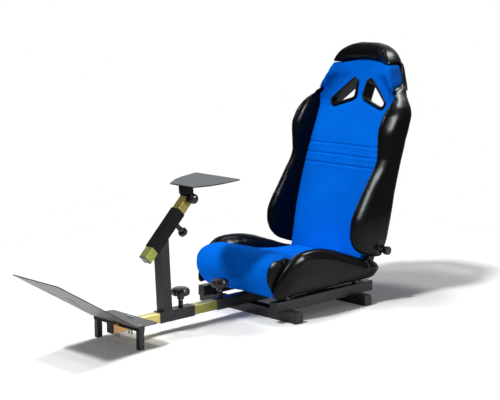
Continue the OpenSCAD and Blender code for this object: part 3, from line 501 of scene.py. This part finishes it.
def cover_vinyl(name):
    """Black vinyl with a pebbled leather grain and a soft shine."""
    mat, add, join, out = new_finish(name)
    skin = add("ShaderNodeBsdfPrincipled", Metallic=0.0)
    skin.inputs["Specular IOR Level"].default_value = 0.12
    place = add("ShaderNodeTexCoord")
    cloud = add("ShaderNodeTexNoise", Scale=11.0, Detail=5.0)
    pebble = add("ShaderNodeTexVoronoi", Scale=520.0, feature="DISTANCE_TO_EDGE")
    crease = add("ShaderNodeTexNoise", Scale=60.0, Detail=6.0, Roughness=0.6)
    for tex in (cloud, pebble, crease):
        join(place.outputs["Object"], tex.inputs["Vector"])
    tint = ramp_of(add, (0.3, (0.0038, 0.004, 0.0048)), (0.7, (0.0065, 0.0068, 0.008)))
    join(cloud.outputs["Fac"], tint.inputs["Fac"])
    join(tint.outputs["Color"], skin.inputs["Base Color"])
    unevenly_dull(add, join, crease, skin, 0.19, 0.3)
    relief = add("ShaderNodeBump", Strength=0.22, Distance=0.0004)
    join(pebble.outputs["Distance"], relief.inputs["Height"])
    waves = add("ShaderNodeBump", Strength=0.16, Distance=0.0015)
    join(crease.outputs["Fac"], waves.inputs["Height"])
    join(relief.outputs["Normal"], waves.inputs["Normal"])
    join(waves.outputs["Normal"], skin.inputs["Normal"])
    join(skin.outputs[0], out.inputs["Surface"])
    return mat


blue_cloth = cover_cloth("blue_cloth")
black_vinyl = cover_vinyl("black_vinyl")


def drawn(table):
    """A smooth curve through (place, measure) pairs that never swings past them."""
    xs, ys = np.array(table, float).T
    rise = np.diff(ys) / np.diff(xs)
    lean = np.zeros(len(xs))
    lean[0], lean[-1] = rise[0], rise[-1]
    for i in range(1, len(xs) - 1):
        if rise[i - 1] * rise[i] > 0:
            lean[i] = 2 * rise[i - 1] * rise[i] / (rise[i - 1] + rise[i])

    def at(x):
        x = min(max(x, xs[0]), xs[-1])
        i = min(int(np.searchsorted(xs, x, side="right")) - 1, len(xs) - 2)
        h = xs[i + 1] - xs[i]
        t = (x - xs[i]) / h
        return ((2 * t**3 - 3 * t**2 + 1) * ys[i] + (t**3 - 2 * t**2 + t) * h * lean[i]
                + (3 * t**2 - 2 * t**3) * ys[i + 1] + (t**3 - t**2) * h * lean[i + 1])
    return at


def skinned(name, rings):
    """A closed mesh through rings given in mm, each with the same number of points."""
    rings = np.array(rings, float) / 1000
    m, n = rings.shape[:2]
    faces = [(i * n + j, i * n + (j + 1) % n, (i + 1) * n + (j + 1) % n, (i + 1) * n + j)
             for i in range(m - 1) for j in range(n)]
    faces += [tuple(range(n - 1, -1, -1)), tuple((m - 1) * n + j for j in range(n))]
    mesh = bpy.data.meshes.new(name)
    mesh.from_pydata([tuple(p) for p in rings.reshape(-1, 3)], [], faces)
    work = bmesh.new()
    work.from_mesh(mesh)
    bmesh.ops.recalc_face_normals(work, faces=work.faces)
    work.to_mesh(mesh)
    work.free()
    obj = bpy.data.objects.new(name, mesh)
    bpy.context.scene.collection.objects.link(obj)
    return obj


def settled(obj):
    """Applies the piece's modifiers to its mesh."""
    view = bpy.context.evaluated_depsgraph_get()
    mesh = bpy.data.meshes.new_from_object(obj.evaluated_get(view))
    obj.modifiers.clear()
    obj.data = mesh


def points_of(obj):
    """The piece's points as an array."""
    places = np.empty(len(obj.data.vertices) * 3)
    obj.data.vertices.foreach_get("co", places)
    return places.reshape(-1, 3)


def put_points(obj, places):
    """Moves the piece's points to new places."""
    obj.data.vertices.foreach_set("co", places.ravel())
    obj.data.update()


def rounded(obj, times):
    """Draws the piece's mesh smooth a number of times."""
    soft = obj.modifiers.new("soft", "SMOOTH")
    soft.factor = 0.5
    soft.iterations = times
    settled(obj)


def foamed(obj, rounding, give, voxel=0.005):
    """Even mesh, rounded edges, then air pressure under the cover, held to a few mm."""
    grid = obj.modifiers.new("grid", "REMESH")
    grid.mode = "VOXEL"
    grid.voxel_size = voxel
    rounded(obj, rounding)
    before = points_of(obj)
    cover = obj.modifiers.new("cover", "CLOTH")
    cover.settings.use_pressure = True
    cover.settings.uniform_pressure_force = 4.0
    cover.settings.effector_weights.gravity = 0
    cover.settings.quality = 5
    scene = bpy.context.scene
    last_frame = 20
    for step in range(1, last_frame + 1):
        scene.frame_set(step)
    view = bpy.context.evaluated_depsgraph_get()
    swollen = bpy.data.meshes.new_from_object(obj.evaluated_get(view))
    obj.modifiers.clear()
    after = np.empty(len(swollen.vertices) * 3)
    swollen.vertices.foreach_get("co", after)
    after = after.reshape(-1, 3)
    bpy.data.meshes.remove(swollen)
    scene.frame_set(1)
    move = after - before
    far = np.linalg.norm(move, axis=1, keepdims=True)
    put_points(obj, before + move * np.minimum(1, give / np.maximum(far, 1e-9)))
    # the smallest creases are drawn flat again
    rounded(obj, 5)


def on_side(hand, ring):
    """A ring of the sitter's left side, or its mirror image."""
    return [(hand * x, y, z) for x, y, z in ring]


def piping(name, line, r):
    """A thin sewn-in cord along a line given in mm."""
    turns = [math.tau * k / 8 for k in range(8)]
    rings = []
    for i, place in enumerate(line):
        along = (Vector(line[min(i + 1, len(line) - 1)]) - Vector(line[max(i - 1, 0)])).normalized()
        one = along.cross(Vector((0, 1, 0.01))).normalized()
        two = along.cross(one)
        rings.append([tuple(Vector(place) + r * (math.cos(q) * one + math.sin(q) * two)) for q in turns])
    return skinned(name, rings)


def upholstered(obj, node, mat, body):
    """Gives a padded piece its cover and says which body it rides on."""
    obj.data.materials.clear()
    obj.data.materials.append(mat)
    obj.data.polygons.foreach_set("use_smooth", [True] * len(obj.data.polygons))
    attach(obj, body)
    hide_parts(node)


# ---------- seat cushion ----------
# One block of foam on the pan under blue cloth, rolled over at the front, hollowed for the thighs.
# The cloth is sewn to the side bolsters all along.
pan_top = 84.3  # in mm, as all the tables of the padded pieces
cushion_top = drawn([(-104, 172), (-101, 192), (-92, 210), (-74, 223), (-44, 231), (-10, 231), (30, 222),
                     (70, 210), (110, 199), (160, 188), (220, 180), (300, 174), (396, 168)])
cushion_under = drawn([(-104, 164), (-101, 148), (-92, 130), (-74, 104), (-54, 88), (-44, pan_top),
                       (396, pan_top)])
cushion_half = drawn([(-104, 172), (-101, 180), (-92, 187), (-74, 189), (20, 188), (110, 178), (220, 166),
                      (396, 158)])


def cushion_section(y):
    """The cushion across, from its underside up one side, over the crowned top and down again."""
    w, t, u = cushion_half(y), cushion_top(y), cushion_under(y)
    h = t - u
    r = min(12, h / 2.5)
    section = [(w * k / 6.5, y, u) for k in range(-6, 7)]
    section += [(w - 2, y, u + 0.15 * h), (w, y, u + 0.5 * h), (w - 1, y, t - r), (w - 6, y, t - 0.3 * r)]
    section += [(w * k / 8.6, y, t + 7 * (1 - (k / 8.6) ** 2)) for k in range(8, -9, -1)]
    section += [(-w + 6, y, t - 0.3 * r), (-w + 1, y, t - r), (-w, y, u + 0.5 * h), (-w + 2, y, u + 0.15 * h)]
    return section


places = [396, 390] + list(range(380, -90, -10)) + [-94, -98, -101, -103, -104]
cushion = skinned("cushion", [cushion_section(y) for y in places])
foamed(cushion, rounding=5, give=0.004, voxel=0.0045)
upholstered(cushion, "cushion_panel", blue_cloth, "base")
# the two ends of the front roll are closed with vinyl
cushion.data.materials.append(black_vinyl)
for face in cushion.data.polygons:
    x, y, z = face.center * 1000
    if y < 60 and abs(face.normal.x) > 0.72 and abs(x) > cushion_half(y) - 9:
        face.material_index = 1

# ---------- cushion bolsters ----------
# Raised foam cheeks on both sides of the cushion, under black vinyl, with a flat outer panel. Their
# covers are sewn to the cushion's cloth and pulled down round the pan.
cheek_top = drawn([(-77, 112), (-74, 131), (-66, 150), (-54, 168), (-39, 189), (-14, 216), (12, 234),
                   (48, 246), (106, 249), (154, 245), (208, 234), (263, 216), (319, 197), (376, 177),
                   (437, 160), (462, 147), (474, 132)])
cheek_under = drawn([(-77, 96), (-66, 86), (-54, pan_top), (430, pan_top), (462, 94), (474, 112)])
cheek_half = drawn([(-77, 199), (-66, 205), (-39, 215), (-14, 223), (12, 228), (48, 231), (430, 231),
                    (462, 225), (474, 214)])


def cheek_section(y):
    """A cheek across: straight along the cushion, rounded on top, flat outside."""
    t, u, x1 = cheek_top(y), cheek_under(y), cheek_half(y)
    h = t - u
    x0 = 186 if y >= 398 else cushion_half(y) + 0.8
    xf = min(x1, 209)
    c = x0 + 0.56 * (x1 - x0)
    r = min((x1 - x0) * 0.62, h * 0.48)
    xm, um = max(xf - 13, (x0 + xf) / 2), u + min(6, 0.3 * h)
    section = [(xm, y, um), (xm + 1, y, u), (xf - 5, y, u), (xf, y, u + min(9, h * 0.15)),
               (xf + 0.7 * (x1 - xf), y, u + 0.45 * h)]
    for step in range(17):
        q = math.pi * step / 16
        wide = x1 - c if q < math.pi / 2 else c - x0
        section.append((c + wide * math.cos(q), y, t - r + r * math.sin(q)))
    return section + [(x0, y, u + 0.45 * h), (x0, y, um)]


places = [474, 470, 462, 450, 437, 420, 405, 398, 397] + list(range(390, -50, -10))
places += [-54, -60, -66, -70, -74, -77]
for side, hand in (("left", 1), ("right", -1)):
    cheek = skinned("cushion_cheek_" + side, [on_side(hand, cheek_section(place)) for place in places])
    foamed(cheek, rounding=4, give=0.003)
    upholstered(cheek, "cushion_bolster_" + side, black_vinyl, "base")

# ---------- seat back ----------
# A tall foam block under blue cloth with three sewn lines across, wrapped round at the neck. Its curves
# give a measure at each height, in mm.
back_half = drawn([(168, 222), (195, 230), (240, 235), (310, 236), (410, 233), (500, 236), (590, 245),
                   (640, 250), (690, 251), (715, 243), (740, 225), (765, 203), (796, 180), (836, 161),
                   (870, 150), (905, 131), (930, 108), (946, 82), (953, 58), (957, 40)])
seam_half = drawn([(150, 182.5), (182, 184.5), (300, 196.5), (640, 198.5), (700, 197.5), (735, 201.5),
                   (765, 195.5), (780, 188.5), (796, 176.5)])
front_at = drawn([(150, 401), (173, 407), (491, 497), (758, 601), (816, 620), (870, 634), (897, 642)])
wing_at = drawn([(150, 4), (700, 4), (738, 13), (755, 26), (778, 44), (796, 52), (836, 54), (870, 46),
                 (907, 36)])
rear_at = drawn([(150, 488), (168, 493), (560, 593), (600, 600), (690, 625), (740, 641), (808, 680),
                 (858, 688), (915, 686), (946, 674), (957, 662)])
crest_at = drawn([(166, 440), (180, 395), (195, 356), (215, 330), (240, 312), (275, 303), (310, 305),
                  (350, 322), (410, 362), (470, 404), (510, 434), (545, 447), (590, 447), (640, 449),
                  (680, 468), (710, 490), (740, 522), (751, 540), (765, 556), (780, 570), (790, 588),
                  (801, 622), (808, 654), (820, 700)])
tip_at = drawn([(740, 522), (751, 540), (765, 556), (780, 573), (788, 587), (793, 601), (796, 618),
                (799, 632), (808, 642), (837, 656), (870, 667), (885, 668), (910, 664)])
neck, cap_foot, wing_top = 796, 880, 799
shell_gap = 4.3  # between the foam and the rear cover
seat_wide, drawn_wide = 500, 504


def outer_half(z):
    """Half the width of the seat back with its wings."""
    return back_half(z) * seat_wide / drawn_wide


def back_seam(z):
    """Half the width of the blue panel."""
    return outer_half(z) if z > neck else min(seam_half(z), outer_half(z) - 0.5)


def held(x, low, high):
    """x, kept between two bounds."""
    return min(high, max(low, x))


def nose_at(z):
    """How far forward the wrapped neck reaches."""
    return min(crest_at(z), rear_at(z) - 28)


def back_section(z):
    """The blue block at a height: flat at the foot, wrapped round from the neck up."""
    # p half width, f front, e how far the edges curl forward, b rear, m where the side turns rearwards
    p, f, e = back_seam(z) - 0.5, front_at(z), wing_at(z)
    k, g = held((z - neck) / 44, 0, 1), held((z - 745) / 20, 0, 1)
    b = rear_at(z) - shell_gap - (24 + (30 if z < 236 else 0)) * (1 - g)
    up = held((z - neck) / 6, 0, 1)
    m = f - e + (b - f + e) * 0.45
    m += (nose_at(z) - m) * up
    q = p - 10 * g - 6 * up
    half = min(min(outer_half(z) - 24, 214), p - 8)
    dish = 15 * held((z - 670) / 60, 0, 1) * held((860 - z) / 55, 0, 1)
    curl = 5 - 1.8 * k
    section = [((p - 10 * k) * j / 16, f - e * abs(j / 16) ** curl, z) for j in range(-16, 17)]
    side = [(p - 2 * k, f - e + 14 * k + 3 * (1 - k), z), (p, m, z), (q, (m if up else b - 12), z), (q, b, z)]
    rear = [(half * j / 8, b - g * dish * min(1, 2.5 * max(0, 0.8 - abs(j / 8))), z)
            for j in range(8, -9, -1)]
    return section + side + rear + on_side(-1, reversed(side))


places = [152, 158, 166] + list(range(172, 880, 8)) + [880, 888, 899]
back = skinned("back", [back_section(z) for z in places])

# a belt hole: its corners' middles, the turn of each corner in degrees, their radius, slope and place
hole_corners = ((-36, 42), (43, -35), (-40, -6))
hole_turns = ((174, 43), (43, -109), (-109, -186))
hole_round = 12
hole_slope = math.atan(0.36)
hole_centre = (76, front_at(760), 760)


def hole_outline(grow, steps=8):
    """The three-cornered outline of a belt hole in its own plane, in mm."""
    line = []
    for (cx, cz), (start, stop) in zip(hole_corners, hole_turns):
        for i in range(steps + 1):
            q = math.radians(start + (stop - start) * i / steps)
            line.append((cx + (hole_round + grow) * math.cos(q), cz + (hole_round + grow) * math.sin(q)))
    return line


def through_hole(hand, x, z, depth):
    """A point of a belt hole's own plane and depth, as a place on the seat, in mm."""
    y = depth * math.cos(hole_slope) + z * math.sin(hole_slope)
    up = z * math.cos(hole_slope) - depth * math.sin(hole_slope)
    return (hand * (hole_centre[0] + x), hole_centre[1] + y, hole_centre[2] + up)


def plug(name, rings):
    """A short solid that only serves as a cutter."""
    tool = skinned(name, rings)
    tool.hide_render = True
    return tool


def cut_by(obj, tools):
    """Cuts the tools out of the piece and puts them away."""
    for tool in tools:
        cut = obj.modifiers.new("cut", "BOOLEAN")
        cut.object = tool
        cut.solver = "EXACT"
    settled(obj)
    for tool in tools:
        bpy.data.objects.remove(tool)


def cap_line_plug(name, side, lift):
    """Everything above or below the sewn line under the headrest cap."""
    wide, arch, far = outer_half(cap_foot) + 12, 19, cap_foot + side * 90
    line = [(wide * j / 24, cap_foot + lift + arch * max(0, 1 - (j / 16.6) ** 2)) for j in range(-24, 25)]
    outline = [(-wide, far)] + line + [(wide, far)]
    return plug(name, [[(x, y, z) for x, z in outline] for y in (540, 730)])


tip_places = [780, 785, 789, 792, 795, 797, wing_top]
strip_places = tip_places + [802, 806, 811] + list(range(816, 906, 6))


def strip_section(z, grow):
    """The tip of the shoulder wing and the neck strip above it, from its nose to the rear."""
    low = (0 if grow else 1.2 * held((wing_top - z) / 19, 0, 1)) + 3 * held((z - 876) / 12, 0, 1)
    x1 = max(outer_half(z), seam_half(z) + 3 if z <= neck else 0) + 0.2 - low + grow
    x0, y0, y1 = x1 - 15 - 2 * grow, tip_at(z) + low - grow, rear_at(z) - shell_gap - low + grow
    ring = []
    for i in range(28):
        q = math.tau * i / 28
        c, d = math.cos(q), -math.sin(q)
        ring.append(((x0 + x1) / 2 + (x1 - x0) / 2 * math.copysign(abs(c) ** 0.6, c),
                     (y0 + y1) / 2 + (y1 - y0) / 2 * math.copysign(abs(d) ** 0.6, d), z))
    return ring


hole_room, strip_room = 4.6, 1
room_places = [744, 750, 756, 762, 768, 774] + strip_places
tools = []
for hand in (1, -1):
    tools.append(plug("hole_plug", [[through_hole(hand, x, z, depth) for x, z in hole_outline(hole_room)]
                                    for depth in (-60, 140)]))
for hand in (1, -1):
    tools.append(plug("strip_plug", [on_side(hand, strip_section(place, strip_room))
                                     for place in room_places]))
cut_by(back, tools + [cap_line_plug("top_plug", 1, 0.2)])
foamed(back, rounding=6, give=0.004, voxel=0.004)


def bulge(away, width):
    """1 on a line, falling off to both sides of it."""
    return math.exp(-(away / width) ** 2)


seam_places = (491, 528, 567)
cloth_points = points_of(back)
for place in cloth_points:
    x, y, z = place * 1000
    if y < front_at(z) + 30 and abs(x) < back_seam(z) - 2:
        # a sewn line pulls the cloth in by a few mm and leaves a soft fold on both sides of it
        for line in seam_places:
            away = abs(z - line)
            place[1] += 0.0028 * bulge(away, 3.0) - 0.0008 * bulge(away - 8, 4)
        # the cloth is rolled over a cord along both edges
        if z < 790:
            inside = back_seam(z) - abs(x)
            place[1] += 0.0024 * bulge(inside - 10, 3) - 0.0018 * bulge(inside - 4, 3.5)
put_points(back, cloth_points)
upholstered(back, "back_panel", blue_cloth, "backrest")

# ---------- seat back bolsters ----------
# Foam wings on both sides of the back, under black vinyl: wide at the hips, waisted, wide again at
# the shoulders, and running up the neck as a narrow strip.


def wing_section(z):
    """A wing at a height: along the blue panel, round its nose and back along its flat side."""
    x1 = max(outer_half(z), seam_half(z) + 3)
    x0, b = min(back_seam(z) + 0.6, x1 - 13), rear_at(z) - shell_gap
    n = tip_at(z) if z > 740 else crest_at(z)
    xi = x0 + 5
    c, d, side = xi + 0.4 * (x1 - xi), min(42, (b - n) * 0.45), min(66, (b - n) * 0.6)
    front = max(front_at(z) - wing_at(z), n + d) if z < 745 else n + d + 1
    section = [(x0, b, z), (x0, (b + front) / 2, z), (x0, max(front, n + d + 1), z)]
    for step in range(8):
        q = math.pi * (1 - step / 16)
        section.append((c + (c - xi) * math.cos(q), n + d - d * math.sin(q), z))
    # the nose is a broad round facing outwards
    for step in range(13):
        q = math.pi / 2 * (1 - step / 12)
        section.append((c + (x1 - c) * math.cos(q) ** 1.25, n + side - side * math.sin(q) ** 1.25, z))
    return section + [(x1, (n + side + b) / 2, z), (x1 - 2, b - 12, z), (x1 - 5, b - 4, z), (x1 - 9, b, z)]


turns = [math.tau * i / 24 for i in range(24)]
rod_y, rod_z, rod_room = 472, 195, 14
seam_point = 21  # the point of a section where the rounded nose meets the flat side
tip_foot = 0.768
places = [166, 169, 173, 178, 182, 190] + list(range(198, 776, 8)) + tip_places
for side, hand in (("left", 1), ("right", -1)):
    wing = skinned("back_wing_" + side, [on_side(hand, wing_section(place)) for place in places])
    # room for the pivot rod
    hole = [(rod_y + rod_room * math.cos(q), rod_z + rod_room * math.sin(q)) for q in turns]
    cut_by(wing, [plug("rod_plug", [[(hand * x, y, z) for y, z in hole] for x in (150, 250)])])
    foamed(wing, rounding=4, give=0.003, voxel=0.0045)
    # the narrow shoulder tip is drawn smooth
    mesh = bmesh.new()
    mesh.from_mesh(wing.data)
    tip = [v for v in mesh.verts if v.co.z > tip_foot]
    for step in range(10):
        bmesh.ops.smooth_vert(mesh, verts=tip, factor=0.5, use_axis_x=True, use_axis_y=True, use_axis_z=True)
    mesh.to_mesh(wing.data)
    mesh.free()
    upholstered(wing, "back_bolster_" + side, black_vinyl, "backrest")
    # the neck strip is too narrow for the even mesh, so it is skinned as it is
    strip = skinned("neck_strip_" + side, [on_side(hand, strip_section(place, 0)) for place in strip_places])
    upholstered(strip, "back_bolster_" + side, black_vinyl, "backrest")
    # a flap of the same vinyl closes the foot of the back
    flap = skinned("foot_flap_" + side, [[(hand * (179 + 13 * math.cos(q)), 437 + 12 * math.sin(q), z)
                                          for q in turns] for z in (153, 155, 160, 166, 171)])
    upholstered(flap, "back_bolster_" + side, black_vinyl, "backrest")
    # a piped seam runs between the rounded nose of each wing and its flat side
    line = on_side(hand, [wing_section(place)[seam_point] for place in range(186, 750, 6)])
    cord = piping("wing_piping_" + side, line, 1.2)
    upholstered(cord, "back_bolster_" + side, black_vinyl, "backrest")

# ---------- headrest cap ----------
# A foam cap under black vinyl that wraps over the top of the back, sewn to the blue cloth along an
# arched line.
cap_front = drawn([(880, 636), (897, 634), (920, 632), (936, 637), (950, 646), (957, 655)])
cap_wing = drawn([(880, 44), (905, 36), (930, 24), (946, 14), (957, 4)])


def cap_section(z):
    """The cap at a height: crowned in front, wrapped round both sides, flat at the rear."""
    p, f, b, e = outer_half(z) + 3.5, cap_front(z) - 1, rear_at(z) + 1, cap_wing(z)
    m, h = (f - e + b) / 2, (b - f + e) / 2
    section = [((p - 8) * j / 14, f - e * abs(j / 14) ** 2.8 - 6 * (1 - (j / 14) ** 2), z)
               for j in range(-14, 15)]
    side = [(p - 3, m - 0.7 * h, z), (p, m, z), (p - 1, m + 0.55 * h, z), (p - 5, m + 0.85 * h, z)]
    rear = [(max(8, p - 14) * j / 7, b, z) for j in range(7, -8, -1)]
    return section + side + rear + on_side(-1, reversed(side))


places = [876] + list(range(880, 940, 6)) + [944, 948, 951, 953, 955, 957]
cap = skinned("headrest", [cap_section(z) for z in places])
cut_by(cap, [cap_line_plug("foot_plug", -1, -0.8)])
foamed(cap, rounding=12, give=0.004, voxel=0.0035)
upholstered(cap, "headrest_cap", black_vinyl, "backrest")
